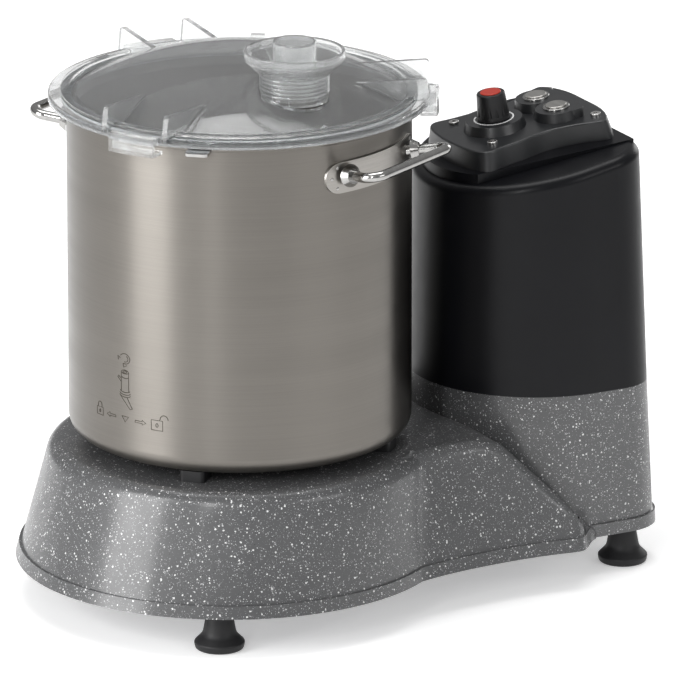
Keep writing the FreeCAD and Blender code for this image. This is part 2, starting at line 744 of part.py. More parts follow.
def push_button(side):
    top = POD_HEIGHT + BUTTON_RISE
    cap = cylinder(BUTTON_RADIUS, -BUTTON_SKIRT, top, BUTTON_S, side * BUTTON_Y)
    cap = cap.makeFillet(0.8, edges_at(cap, lambda e: e.BoundBox.ZMin > top - 0.1))
    low = SLEEVE_END - PLUNGER_REACH
    plunger = cylinder(PLUNGER_RADIUS, low, -BUTTON_SKIRT, BUTTON_S, side * BUTTON_Y)
    return tilted(cap.fuse(plunger))


def switch_blocks():
    blocks = []
    half = BEZEL_RADIUS - SLEEVE_WALL
    low = SLEEVE_END - SWITCH_DEPTH
    well_end = SLEEVE_END - BUTTON_TRAVEL - PLUNGER_REACH - OVER
    for side in (-1, 1):
        y = side * BUTTON_Y
        case = block(BUTTON_S - half, BUTTON_S + half, y - half, y + half, low, SLEEVE_END)
        well = cylinder(PLUNGER_RADIUS + SLIDE, well_end, SLEEVE_END + OVER, BUTTON_S, y)
        blocks.append(tilted(case.cut(well)))
    return group(blocks)


def speed_potentiometer():
    top = -PANEL_HEIGHT - COVER_WALL
    case = cylinder(POT_RADIUS, top - POT_HEIGHT, top, KNOB_S)
    bushing = cylinder(BUSHING_RADIUS, top, POD_HEIGHT - 1, KNOB_S)
    bore = cylinder(KNOB_STEM + RUNNING, top - POT_HEIGHT + 2, POD_HEIGHT, KNOB_S)
    return tilted(case.fuse(bushing).cut(bore))


def control_board():
    middle = (PANEL_SCREWS[0][0] + PANEL_SCREWS[1][0]) / 2
    board = block(middle - BOARD_LENGTH / 2, middle + BOARD_LENGTH / 2, -BOARD_WIDTH / 2, BOARD_WIDTH / 2,
                  -BOARD_DEPTH, BOARD_THICK - BOARD_DEPTH)
    return tilted(board)


def speed_knob():
    low = POD_HEIGHT + LOOSE
    grip = Part.makeCone(KNOB_RADIUS, KNOB_TOP_RADIUS, KNOB_HEIGHT, V(KNOB_S, 0, low))
    grip = grip.makeFillet(1.2, edges_at(grip, lambda e: e.BoundBox.ZMin > low + 1))
    flutes = []
    for index in range(KNOB_FLUTES):
        angle = 2 * pi * index / KNOB_FLUTES
        place = V(KNOB_S + (KNOB_RADIUS + 0.4) * cos(angle), (KNOB_RADIUS + 0.4) * sin(angle), low + 3)
        flutes.append(Part.makeCylinder(FLUTE_RADIUS, KNOB_HEIGHT, place))
    grip = grip.cut(flutes)
    stem = cylinder(KNOB_STEM, -PANEL_HEIGHT - COVER_WALL - POT_HEIGHT + 3, low, KNOB_S)
    recess = cylinder(KNOB_CAP_RADIUS + PRESS, low + KNOB_HEIGHT - 1, low + KNOB_HEIGHT + 1, KNOB_S)
    return tilted(grip.fuse(stem).cut(recess))


def knob_cap():
    low = POD_HEIGHT + LOOSE + KNOB_HEIGHT - 1
    cap = cylinder(KNOB_CAP_RADIUS, low, low + KNOB_CAP_HEIGHT, KNOB_S)
    return tilted(cap.makeFillet(0.5, edges_at(cap, lambda e: e.BoundBox.ZMin > low + 0.5)))


# Spindle line: bearing housing under the bowl, shaft and belt drive


def bearing_housing():
    bore = BEARING_RADIUS + PRESS
    top = SEAT_TOP + HOUSING_FLANGE_THICK
    lip = HOUSING_BOTTOM + HOUSING_LIP
    outline = [(HOUSING_LIP_RADIUS, HOUSING_BOTTOM), (HOUSING_RADIUS, HOUSING_BOTTOM),
               (HOUSING_RADIUS, SEAT_TOP), (HOUSING_FLANGE, SEAT_TOP), (HOUSING_FLANGE, top), (bore, top),
               (bore, lip), (HOUSING_LIP_RADIUS, lip)]
    housing = revolved(outline, [0, 2, 0, 0, 1.5, 0, 0, 0])
    holes = [cylinder(SCREW_RADIUS + PRESS, SEAT_TOP - 1, top + 1, x, y)
             for x, y in housing_screw_places()]
    return housing.cut(holes)


def housing_screws():
    top = SEAT_TOP + HOUSING_FLANGE_THICK
    screws = []
    for x, y in housing_screw_places():
        head = cylinder(SCREW_HEAD, top, top + SCREW_HEAD_HEIGHT, x, y)
        screws.append(head.fuse(cylinder(SCREW_RADIUS, SEAT_TOP - HOUSING_SCREW_GRIP, top, x, y)))
    return group(screws)


def seal_bottom():
    return SEAT_TOP + HOUSING_FLANGE_THICK - SEAL_WIDTH


def spindle_bearings():
    low = HOUSING_BOTTOM + HOUSING_LIP
    high = seal_bottom() - BEARING_WIDTH
    return group([ring(BEARING_RADIUS, SHAFT_RADIUS + RUNNING, bottom, bottom + BEARING_WIDTH)
                  for bottom in (low, high)])


def bearing_sleeve():
    low = HOUSING_BOTTOM + HOUSING_LIP + BEARING_WIDTH
    return ring(BEARING_RADIUS, BEARING_RADIUS - SLEEVE_THICK, low, seal_bottom() - BEARING_WIDTH)


def shaft_seal():
    return ring(BEARING_RADIUS, SHAFT_RADIUS + RUNNING, seal_bottom(), SEAT_TOP + HOUSING_FLANGE_THICK)


def spindle_shaft():
    thread_end = HUB_TOP + KNIFE_CAP_HEIGHT - KNIFE_CAP_ROOF - OVER
    outline = [(0, SHAFT_BOTTOM), (SHAFT_RADIUS, SHAFT_BOTTOM), (SHAFT_RADIUS, HUB_TOP),
               (THREAD_RADIUS, HUB_TOP), (THREAD_RADIUS, thread_end), (0, thread_end)]
    return revolved(outline)


def pulley(radius, bore, x):
    """Flanged pulley with a thin web when it is wide enough for one."""
    top = PULLEY_BOTTOM + PULLEY_HEIGHT
    flange = radius + PULLEY_RIM
    outline = [(bore, PULLEY_BOTTOM), (flange, PULLEY_BOTTOM), (flange, PULLEY_BOTTOM + PULLEY_RIM),
               (radius, PULLEY_BOTTOM + PULLEY_RIM), (radius, top - PULLEY_RIM), (flange, top - PULLEY_RIM),
               (flange, top), (bore, top)]
    body = revolved(outline, x=x)
    hub = bore + PULLEY_HUB_WALL
    rim = radius - PULLEY_RIM_WALL
    if rim > hub + PULLEY_WEB_DEPTH:
        body = body.cut(ring(rim, hub, top - PULLEY_WEB_DEPTH, top + OVER, x))
        body = body.cut(ring(rim, hub, PULLEY_BOTTOM - OVER, PULLEY_BOTTOM + PULLEY_WEB_DEPTH, x))
    return body


def belt_loop(extra, height):
    """Tight loop round both pulleys, a given distance outside their faces."""
    driven = DRIVEN_RADIUS + extra
    drive = DRIVE_RADIUS + extra
    lean = (driven - drive) / MOTOR_X
    rise = sqrt(1 - lean * lean)
    near = V(driven * lean, driven * rise, height)
    far = V(MOTOR_X + drive * lean, drive * rise, height)
    near_low = V(near.x, -near.y, height)
    far_low = V(far.x, -far.y, height)
    return Part.Wire([Part.Arc(near, V(-driven, 0, height), near_low).toShape(),
                      Part.LineSegment(near_low, far_low).toShape(),
                      Part.Arc(far_low, V(MOTOR_X + drive, 0, height), far).toShape(),
                      Part.LineSegment(far, near).toShape()])


def drive_belt():
    low = PULLEY_BOTTOM + PULLEY_RIM + SLIDE
    width = PULLEY_HEIGHT - 2 * PULLEY_RIM - 2 * SLIDE
    outer = extruded(belt_loop(SLIDE + BELT_THICK, low), width)
    return outer.cut(extruded(belt_loop(SLIDE, low), width))


# Motor


def motor_bracket():
    """Plate with a round middle, four arms to the posts and a hub for the lower bearing."""
    top = BRACKET_BOTTOM + BRACKET_THICK
    plate = cylinder(MOTOR_RADIUS + 3, BRACKET_BOTTOM, top, MOTOR_X)
    for x, y in bracket_places():
        reach = hypot(x - MOTOR_X, y)
        arm = block(0, reach, -BRACKET_EAR, BRACKET_EAR, BRACKET_BOTTOM, top)
        arm = arm.fuse(cylinder(BRACKET_EAR, BRACKET_BOTTOM, top, reach))
        arm.rotate(V(0, 0, 0), V(0, 0, 1), degrees(atan2(y, x - MOTOR_X)))
        plate = plate.fuse(moved(arm, MOTOR_X))
    hub_low = top - MOTOR_BEARING_WIDTH - 2
    plate = plate.fuse(cylinder(MOTOR_BEARING + MOTOR_HUB_WALL, hub_low, BRACKET_BOTTOM, MOTOR_X))
    cuts = [cylinder(MOTOR_BEARING + PRESS, top - MOTOR_BEARING_WIDTH, top + 1, MOTOR_X),
            cylinder(ROTOR_SHAFT + 2, hub_low - 1, top, MOTOR_X)]
    for x, y in bracket_places():
        cuts.append(cylinder(SCREW_RADIUS + PRESS, BRACKET_BOTTOM - 1, top + 1, x, y))
    return plate.removeSplitter().cut(cuts)


def bracket_screws():
    top = BRACKET_BOTTOM + BRACKET_THICK
    screws = []
    for x, y in bracket_places():
        head = cylinder(SCREW_HEAD, top, top + BRACKET_SCREW_HEAD_HEIGHT, x, y)
        screws.append(head.fuse(cylinder(SCREW_RADIUS, BRACKET_BOTTOM - BRACKET_SCREW_GRIP, top, x, y)))
    return group(screws)


def motor_top():
    return BRACKET_BOTTOM + BRACKET_THICK + MOTOR_HEIGHT


def upper_bearing_low():
    return motor_top() - MOTOR_ROOF_SEAT


def motor_housing():
    low = BRACKET_BOTTOM + BRACKET_THICK
    top = motor_top()
    roof = top - MOTOR_ROOF
    hub = MOTOR_BEARING + MOTOR_HUB_WALL
    seat = upper_bearing_low() + MOTOR_BEARING_WIDTH
    crown = seat + MOTOR_HUB_FLOOR
    bore = MOTOR_BEARING + PRESS
    outline = [(MOTOR_RADIUS - MOTOR_WALL, low), (MOTOR_RADIUS, low), (MOTOR_RADIUS, top), (hub, top),
               (hub, crown), (ROTOR_SHAFT + 2, crown), (ROTOR_SHAFT + 2, seat), (bore, seat), (bore, roof),
               (MOTOR_RADIUS - MOTOR_WALL, roof)]
    return revolved(outline, [0, 0, 5, 0, 1, 0, 0, 0, 0, 2], MOTOR_X)


def motor_bearings():
    low = BRACKET_BOTTOM + BRACKET_THICK - MOTOR_BEARING_WIDTH
    high = upper_bearing_low()
    return group([ring(MOTOR_BEARING, ROTOR_SHAFT + RUNNING, bottom, bottom + MOTOR_BEARING_WIDTH, MOTOR_X)
                  for bottom in (low, high)])


def stack_low():
    return BRACKET_BOTTOM + BRACKET_THICK + STATOR_MARGIN


def stack_high():
    return motor_top() - MOTOR_ROOF - STATOR_MARGIN


def motor_stator():
    return ring(MOTOR_RADIUS - MOTOR_WALL - PRESS, STATOR_INNER, stack_low(), stack_high(), MOTOR_X)


def stator_windings():
    inner = STATOR_INNER + WINDING_GAP
    outer = MOTOR_RADIUS - MOTOR_WALL - WINDING_MARGIN
    deep = STATOR_MARGIN / 2
    lower = ring(outer, inner, stack_low() - deep, stack_low(), MOTOR_X)
    return group([lower, ring(outer, inner, stack_high(), stack_high() + deep, MOTOR_X)])


def rotor_core():
    return ring(STATOR_INNER - AIR_GAP, ROTOR_SHAFT + PRESS, stack_low(), stack_high(), MOTOR_X)


def rotor_shaft():
    return cylinder(ROTOR_SHAFT, SHAFT_BOTTOM, upper_bearing_low() + MOTOR_BEARING_WIDTH, MOTOR_X)


# Bowl


def bowl_shell():
    inner = BOWL_RADIUS - BOWL_WALL
    floor = BOWL_BOTTOM + BOWL_WALL
    hole = TUBE_RADIUS + PRESS
    outline = [(hole, BOWL_BOTTOM), (BOWL_RADIUS, BOWL_BOTTOM), (BOWL_RADIUS, BOWL_RIM - RIM_HEIGHT),
               (RIM_RADIUS, BOWL_RIM - RIM_HEIGHT), (RIM_RADIUS, BOWL_RIM), (inner, BOWL_RIM), (inner, floor),
               (hole, floor)]
    return revolved(outline, [0, BOWL_CORNER, 0, 1, 1, 0, BOWL_CORNER - BOWL_WALL, 0])


def bowl_tube():
    return ring(TUBE_RADIUS, TUBE_RADIUS - TUBE_WALL, BOWL_BOTTOM, TUBE_TOP)


def handle_plates():
    """Backing plates, curved to the bowl's wall, with rounded ends."""
    half = BOWL_RADIUS * sin(radians(HANDLE_PLATE_SPAN))
    low = HANDLE_PLATE_LOW
    high = HANDLE_PLATE_HIGH
    end = 0.48 * (high - low)
    corners = [V(0, -half, low), V(0, half, low), V(0, half, high), V(0, -half, high)]
    window = Part.Face(rounded(corners, [end] * 4)).extrude(V(2 * BOWL_RADIUS, 0, 0))
    band = ring(BOWL_RADIUS + HANDLE_PLATE_THICK, BOWL_RADIUS, low - 1, high + 1)
    return group([turned(band.common(window), angle) for angle in HANDLE_ANGLES])


def bowl_handles():
    """Round rod bent into a bow, with a conical foot at each end on the backing plate."""
    start = BOWL_RADIUS - 4
    bar = HANDLE_REACH - HANDLE_ROD
    high = HANDLE_LOW + HANDLE_LIFT
    corners = [V(start, -HANDLE_LEG, HANDLE_LOW), V(bar, -HANDLE_HALF, high), V(bar, HANDLE_HALF, high),
               V(start, HANDLE_LEG, HANDLE_LOW)]
    path = rounded(corners, [0, HANDLE_BEND, HANDLE_BEND, 0], closed=False)
    lean = (corners[1] - corners[0]).normalize()
    circle = Part.Wire(Part.makeCircle(HANDLE_ROD, corners[0], lean))
    rod = path.makePipeShell([circle], True, False)
    shapes = []
    for corner, towards in ((corners[0], corners[1]), (corners[3], corners[2])):
        along = (towards - corner).normalize()
        foot = corner + along * (BOWL_RADIUS - start)
        shapes.append(Part.makeCone(BOSS_BASE, BOSS_TOP, BOSS_HEIGHT, foot, along))
    drum = cylinder(BOWL_RADIUS + HANDLE_PLATE_THICK, HANDLE_PLATE_LOW, BOWL_RIM)
    handle = rod.fuse(shapes).cut(drum)
    return group([turned(handle, angle) for angle in HANDLE_ANGLES])


def bowl_tabs():
    """Three tabs on the rim, which the lid's clips slide over when the lid turns."""
    low = CLIP_BOTTOM + CLIP_LIP + LOOSE
    tabs = []
    for angle in LUG_ANGLES:
        reach = CLIP_OUTER - CLIP_WALL - LOOSE
        tab = block(BOWL_RADIUS, reach, -TAB_HALF, TAB_HALF, low, low + TAB_THICK)
        outer = edges_at(tab, lambda e: e.BoundBox.XMin > reach - 0.1 and e.BoundBox.ZLength > 0.1)
        tab = tab.makeFillet(3, outer).cut(cylinder(RIM_RADIUS, low - 1, low + 5))
        tabs.append(turned(tab, angle + LOCK_TURN))
    return group(tabs)


# Knife


def knife_hub():
    inner = TUBE_RADIUS + LOOSE
    bore = SHAFT_RADIUS + PRESS
    roof = HUB_TOP - HUB_CAP
    outline = [(inner, HUB_BOTTOM), (HUB_FLANGE, HUB_BOTTOM), (HUB_FLANGE, HUB_FLANGE_TOP),
               (HUB_RADIUS, HUB_FLANGE_TOP), (HUB_RADIUS, HUB_TOP), (bore, HUB_TOP), (bore, roof),
               (inner, roof)]
    return revolved(outline)


def blade_wing(bottom):
    """One swept wing: a bulged cutting edge in front and a hollow back edge."""
    sweep = radians(BLADE_SWEEP)
    tip = V(BLADE_REACH * cos(sweep), -BLADE_REACH * sin(sweep), bottom)
    root_front = V(HUB_FLANGE * 0.3, HUB_FLANGE - OVER, bottom)
    root_back = V(HUB_FLANGE * 0.5, OVER * 2 - HUB_RADIUS, bottom)
    heel = V(tip.x - BLADE_TIP_WIDTH, tip.y - OVER, bottom)
    front = Part.Arc(root_front, V(*BLADE_FRONT, bottom), tip).toShape()
    back = Part.Arc(heel, V(*BLADE_HOLLOW, bottom), root_back).toShape()
    closing = [Part.LineSegment(tip, heel).toShape(), Part.LineSegment(root_back, root_front).toShape()]
    return extruded(Part.Wire([front, closing[0], back, closing[1]]), BLADE_THICK)


def blade(bottom, angle):
    """S-shaped knife: a collar with two swept wings."""
    collar = cylinder(HUB_FLANGE, bottom, bottom + BLADE_THICK)
    wing = blade_wing(bottom)
    knife = collar.fuse([wing, turned(wing, 180)]).removeSplitter()
    knife = knife.cut(cylinder(HUB_RADIUS + PRESS, bottom - 1, bottom + BLADE_THICK + 1))
    return turned(knife, angle)


def upper_blade_bottom():
    return HUB_FLANGE_TOP + BLADE_THICK + BLADE_SPACING


def blade_spacer():
    return ring(HUB_FLANGE, HUB_RADIUS + PRESS, HUB_FLANGE_TOP + BLADE_THICK, upper_blade_bottom())


def knife_cap():
    """Cap screwed on the shaft's end; its skirt clamps the blades down on the hub."""
    low = upper_blade_bottom() + BLADE_THICK
    outer = HUB_RADIUS + KNIFE_CAP_WALL
    high = HUB_TOP + KNIFE_CAP_HEIGHT
    screw_end = high - KNIFE_CAP_ROOF
    inner = HUB_RADIUS + PRESS
    brow = HUB_TOP + KNIFE_CAP_WALL
    crown = KNIFE_CAP_RADIUS - KNIFE_CAP_WALL
    outline = [(inner, low), (outer, low), (outer, brow), (crown, high), (0, high), (0, screw_end),
               (THREAD_RADIUS + PRESS, screw_end), (THREAD_RADIUS + PRESS, HUB_TOP),
               (inner, HUB_TOP)]
    return revolved(outline, [0, 0, 8, 5, 0, 0, 0, 0, 0])


# Lid, feed funnel and pusher


def flange_bottom():
    return BOWL_RIM + LID_SEAL_THICK


def flange_top():
    return flange_bottom() + LID_FLANGE_THICK


def dome_centre():
    return flange_top() - sqrt(DOME_RADIUS ** 2 - DOME_FOOT ** 2)


def dome_arc(radius, r_start, r_end):
    """Arc of the dome's section between two distances from the axis."""
    points = []
    for r in (r_start, (r_start + r_end) / 2, r_end):
        points.append(V(r, 0, dome_centre() + sqrt(radius ** 2 - r ** 2)))
    return Part.Arc(*points).toShape(), points[0], points[-1]


def lid_disc():
    outer_arc, foot, apex = dome_arc(DOME_RADIUS, DOME_FOOT, 0)
    inner_arc, crown, inside = dome_arc(DOME_RADIUS - LID_WALL, 0, DOME_FOOT)
    low = flange_bottom()
    high = flange_top()
    bead_in, bead_out = LID_BEAD
    skirt_low = low - LID_SKIRT_DEPTH
    bead_high = high + LID_BEAD_HEIGHT
    ledge = [V(DOME_FOOT, 0, skirt_low), V(LID_SKIRT, 0, skirt_low), V(LID_SKIRT, 0, low),
             V(LID_RADIUS, 0, low), V(LID_RADIUS, 0, high), V(bead_out, 0, high), V(bead_out, 0, bead_high),
             V(bead_in, 0, bead_high), V(bead_in, 0, high), foot]
    edges = [outer_arc, Part.LineSegment(apex, crown).toShape(), inner_arc]
    points = [inside] + ledge
    for start, end in zip(points, points[1:]):
        edges.append(Part.LineSegment(start, end).toShape())
    face = Part.Face(Part.Wire(Part.sortEdges(edges)[0]))
    disc = face.revolve(V(0, 0, 0), V(0, 0, 1), 360)
    rims = edges_at(disc, lambda e: lies_at(e.BoundBox, high) and e.BoundBox.XLength > 2 * LID_RADIUS - 1)
    return disc.makeFillet(LID_EDGE, rims)


def lid_fin(side):
    """Upright web from the dome to the rim, on one side of a clip."""
    foot = LID_RADIUS + 0.8
    low = flange_bottom() + 2.4
    middle = FIN_MIDDLE
    within = DOME_RADIUS - LID_WALL / 2
    root = dome_centre() + sqrt(within ** 2 - FIN_OFFSET ** 2 - middle ** 2)
    tip_low = dome_centre() + sqrt(within ** 2 - FIN_OFFSET ** 2 - FIN_TIP[0] ** 2)
    y = side * FIN_OFFSET - FIN_THICK / 2
    corners = [V(FIN_TIP[0], y, tip_low), V(middle, y, root), V(foot, y, low), V(foot, y, flange_top()),
               V(FIN_TOP[0], y, FIN_TOP[1]), V(FIN_TIP[0], y, FIN_TIP[1])]
    return Part.Face(rounded(corners, [0, 0, 0, 0, 3, 0])).extrude(V(0, FIN_THICK, 0))


def lid_clip():
    """Hook that hangs outside the bowl's rim, open to the side that a tab comes in from."""
    low = CLIP_BOTTOM
    bottom = flange_bottom()
    top = flange_top()
    wall = ring(CLIP_OUTER, CLIP_OUTER - CLIP_WALL, low, top)
    lip = ring(CLIP_OUTER, CLIP_LIP_INNER, low, low + CLIP_LIP)
    roof = ring(CLIP_OUTER, LID_RADIUS - 2, bottom, top)
    window = block(0, 2 * CLIP_OUTER, -CLIP_HALF, CLIP_HALF, low - 1, top + 1)
    stop = block(0, 2 * CLIP_OUTER, -CLIP_HALF, -CLIP_HALF + CLIP_WALL, low - 1, top + 1)
    end = ring(CLIP_OUTER, CLIP_LIP_INNER, low, bottom).common(stop)
    return wall.fuse([lip, roof]).common(window).fuse(end).removeSplitter()


def lid_clips():
    clip = lid_clip().cut(lid_disc())
    return group([turned(clip, angle) for angle in LUG_ANGLES])


def lid():
    shape = lid_disc()
    for angle in LUG_ANGLES:
        for piece in (lid_fin(-1), lid_fin(1)):
            shape = shape.fuse(turned(piece, angle))
    key = block(LID_RADIUS - 2, CLIP_OUTER, -KEY_HALF, KEY_HALF, flange_bottom() + 1, flange_top() + 1)
    shape = shape.fuse(turned(key, KEY_ANGLE)).removeSplitter()
    return shape.cut(cylinder(NECK_RADIUS + PRESS, BOWL_RIM - 20, CONE_TOP, FUNNEL_X, FUNNEL_Y))


def lid_seal():
    return ring(LID_BEAD[1], LID_SKIRT + SLIDE, BOWL_RIM, flange_bottom())


def funnel_shoulder():
    """The ledge inside the funnel that the pusher's collar rests on."""
    return NECK_TOP + FUNNEL_WALL - FUNNEL_STEP


def feed_funnel():
    shoulder = funnel_shoulder()
    inner = FUNNEL_RADIUS - FUNNEL_WALL
    outline = [(THROAT_RADIUS, FUNNEL_SPIGOT), (NECK_RADIUS, FUNNEL_SPIGOT), (NECK_RADIUS, NECK_TOP),
               (NECK_RADIUS + NECK_STEP, NECK_TOP), (FUNNEL_RADIUS, CONE_TOP), (FUNNEL_RADIUS, FUNNEL_TOP),
               (inner, FUNNEL_TOP), (inner, CONE_TOP + 1), (PUSHER_COLLAR + 1, shoulder),
               (THROAT_RADIUS, shoulder)]
    return revolved(outline, [0, 0, 0, 0, 3, 1, 1, 3, 0, 0], FUNNEL_X, FUNNEL_Y)


def pusher():
    seat = funnel_shoulder()
    outer = THROAT_RADIUS - LOOSE
    inner = outer - PUSHER_WALL
    low = FUNNEL_SPIGOT + 2
    top = PUSHER_TOP
    outline = [(inner, low), (outer, low), (outer, seat), (PUSHER_COLLAR, seat),
               (PUSHER_COLLAR, seat + PUSHER_COLLAR_THICK), (outer, seat + PUSHER_COLLAR_THICK), (outer, top),
               (0, top), (0, top - PUSHER_WALL), (inner, top - PUSHER_WALL)]
    return revolved(outline, [0, 0, 0, 0.6, 0.6, 0, 1.5, 0, 0, 0], FUNNEL_X, FUNNEL_Y)


NODES = {
    "base_body": base_body(),
    "bottom_plate": bottom_plate(),
    "rubber_feet": rubber_feet(),
    "foot_screws": foot_screws(),
    "bowl_supports": bowl_supports(),
    "bearing_housing": bearing_housing(),
    "housing_screws": housing_screws(),
    "spindle_bearings": spindle_bearings(),
    "bearing_sleeve": bearing_sleeve(),
    "shaft_seal": shaft_seal(),
    "motor_bracket": motor_bracket(),
    "bracket_screws": bracket_screws(),
    "motor_housing": motor_housing(),
    "motor_bearings": motor_bearings(),
    "motor_stator": motor_stator(),
    "stator_windings": stator_windings(),
    "drive_belt": drive_belt(),
    "motor_cover": motor_cover(),
    "control_panel": control_panel(),
    "panel_screws": panel_screws(),
    "panel_pillars": panel_pillars(),
    "control_board": control_board(),
    "button_bezels": button_bezels(),
    "switch_blocks": switch_blocks(),
    "speed_potentiometer": speed_potentiometer(),
    "cable_gland": cable_gland(),
    "gland_nut": gland_nut(),
    "spindle_shaft": spindle_shaft(),
    "driven_pulley": pulley(DRIVEN_RADIUS, SHAFT_RADIUS + PRESS, 0.0),
    "knife_hub": knife_hub(),
    "lower_blade": blade(HUB_FLANGE_TOP, BLADE_ANGLES[0]),
    "blade_spacer": blade_spacer(),
    "upper_blade": blade(upper_blade_bottom(), BLADE_ANGLES[1]),
    "knife_cap": knife_cap(),
    "rotor_shaft": rotor_shaft(),
    "rotor_core": rotor_core(),
    "drive_pulley": pulley(DRIVE_RADIUS, ROTOR_SHAFT + PRESS, MOTOR_X),
    "bowl_shell": bowl_shell(),
    "bowl_tube": bowl_tube(),
    "handle_plates": handle_plates(),
    "bowl_handles": bowl_handles(),
    "bowl_tabs": bowl_tabs(),
    "lid_seal": lid_seal(),
    "lid": lid(),
    "lid_clips": lid_clips(),
    "feed_funnel": feed_funnel(),
    "pusher": pusher(),
    "speed_knob": speed_knob(),
    "knob_cap": knob_cap(),
    "start_button": push_button(-1),
    "stop_button": push_button(1),
}

os.makedirs("parts", exist_ok=True)
for name, shape in NODES.items():
    moved(shape, x=-ORIGIN_X).exportStep(f"parts/{name}.step")
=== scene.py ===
import bmesh
import bpy
import json
from math import cos, pi, radians, sin
from mathutils import Matrix, Vector


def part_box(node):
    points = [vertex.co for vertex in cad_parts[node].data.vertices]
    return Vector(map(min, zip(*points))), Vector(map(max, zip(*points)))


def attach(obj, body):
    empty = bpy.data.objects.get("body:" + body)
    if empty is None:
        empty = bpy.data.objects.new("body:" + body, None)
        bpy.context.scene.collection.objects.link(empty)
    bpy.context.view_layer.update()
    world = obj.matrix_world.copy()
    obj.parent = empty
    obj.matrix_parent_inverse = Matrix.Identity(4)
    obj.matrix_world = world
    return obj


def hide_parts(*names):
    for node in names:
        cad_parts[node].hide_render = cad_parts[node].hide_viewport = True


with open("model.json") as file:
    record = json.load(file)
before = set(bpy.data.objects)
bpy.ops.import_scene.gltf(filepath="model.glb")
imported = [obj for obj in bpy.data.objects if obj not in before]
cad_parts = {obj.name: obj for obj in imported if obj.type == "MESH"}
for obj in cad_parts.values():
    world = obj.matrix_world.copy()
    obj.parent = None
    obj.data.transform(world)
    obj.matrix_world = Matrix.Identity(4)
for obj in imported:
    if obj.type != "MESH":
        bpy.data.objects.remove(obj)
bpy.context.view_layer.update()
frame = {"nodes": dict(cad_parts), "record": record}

# Looks of the vegetable chopping machine, in metres. The values come first, then the camera and the
# studio, the finishes, and the small pieces that the solids leave to this file.
MM = 0.001


def middle_of(node):
    """Middle of a node's box, as x, y and z."""
    low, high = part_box(node)
    return [(near + far) / 2 for near, far in zip(low, high)]


# The bowl: where its axis stands, and the radius of its wall
BOWL_X = middle_of("bowl_tube")[0]
BOWL_RADIUS = 120 * MM

# Camera, fitted to the photograph and placed from the foot of the bowl's axis
CAMERA_FROM_BOWL = Vector((-3.1733, -6.1288, 2.3571))
CAMERA_AHEAD = Vector((0.44766, 0.84193, -0.30127))
CAMERA_REACH = 60.0
LENS_MM = 535.8
SENSOR_MM = 36.0

# Softboxes, all turned to one point: name, place, width, height and watts
SOFTBOX_AIM = Vector((0, 0, 0.2))
SOFTBOXES = (
    ("key_left", (-2.6, -0.15, 0.9), 1.3, 2.0, 62),
    ("strip_left", (-1.8, -1.75, 1.3), 0.16, 1.2, 14),
    ("fill_right", (1.1, -2.5, 1.4), 1.5, 0.9, 12),
    ("top", (0.1, 0.3, 2.6), 2.0, 1.4, 34),
    ("rear_right", (2.2, 1.2, 0.8), 1.0, 1.0, 10),
)

# Sky round the studio: its tone at the horizon and overhead, and how high up the second one starts
HORIZON_TONE = (0.50, 0.50, 0.51, 1)
OVERHEAD_TONE = (0.95, 0.95, 0.95, 1)
OVERHEAD_FROM = 0.7
SKY_STRENGTH = 0.45

# Floor paper: half its width, how far it lies under the feet, and its look
FLOOR_HALF = 30
FLOOR_DROP = 0.2 * MM
FLOOR_TONE = (0.93, 0.93, 0.93, 1)
FLOOR_ROUGHNESS = 0.9
FLOOR_GLOW = 0.34

# Layers of specks in the enamel: cells per metre, the largest speck in its cell, the share of cells
# that hold one, and the colour
SPECKS = (
    (420, 0.31, 0.46, (0.66, 0.66, 0.66, 1)),
    (760, 0.36, 0.5, (0.46, 0.46, 0.47, 1)),
    (1300, 0.36, 0.5, (0.3, 0.3, 0.31, 1)),
    (800, 0.30, 0.25, (0.02, 0.02, 0.021, 1)),
)
SPECK_WOBBLE = 0.0012
SPECK_RIPPLE = 900

# How fast the wave texture runs at a scale of one, in radians per metre
WAVE_RATE = 20

# Nodes whose finish is not the one of their material slot
OWN_LOOK = {
    "handle_plates": "plate_steel",
    "start_button": "button_steel",
    "stop_button": "button_steel",
}

# Rounded casting: the round on the fenders' top edges, and where and how those edges are found
CREST_ROUND = 8 * MM
CREST_STEPS = 6
CREST_LOW = 38 * MM
CREST_HIGH = 112.5 * MM
CREST_SIDE = 40 * MM
CREST_START = 70 * MM
CREST_RUN = 0.3 * MM
CREST_TURN = radians(25)
CASTING_MERGE = 0.01 * MM
CASTING_FLAT = radians(0.6)
CASTING_SHARP = radians(28)

# Ring beads on the funnel's neck
NECK_RADIUS = 23.4 * MM
NECK_BEADS = 5
NECK_BEAD_RADIUS = 1.0 * MM
NECK_BEAD_LOW = 381.0 * MM
NECK_BEAD_PITCH = 2.8 * MM
BEAD_SIDES = 10
RING_STEPS = 72

# Printed line round the speed knob, on the pod of the tilted panel
PANEL_TILT = radians(8.2)
KNOB_FOOT = Vector((135.18, 0, 308.81)) * MM
POD_HEIGHT = 6.6 * MM
DIAL_INNER = 13.2 * MM
DIAL_WIDTH = 1.2 * MM
DIAL_THICK = 0.15 * MM
DIAL_SWEEP = radians(285)
DIAL_STEPS = 60

# Spot welds on the handle plates: each place is a distance round the wall and a rise
HANDLE_TURNS = (radians(-62.5), radians(117.5))
PLATE_FACE = 121.5 * MM
PLATE_HEIGHT = 329 * MM
DOT_RADIUS = 1.3 * MM
DOT_FLATNESS = 0.3
DOT_SIDES = 14
DOT_RINGS = 8
DOT_PLACES = (
    (44.5 * MM, 7.4 * MM),
    (49.0 * MM, 0.0),
    (44.5 * MM, -7.4 * MM),
)

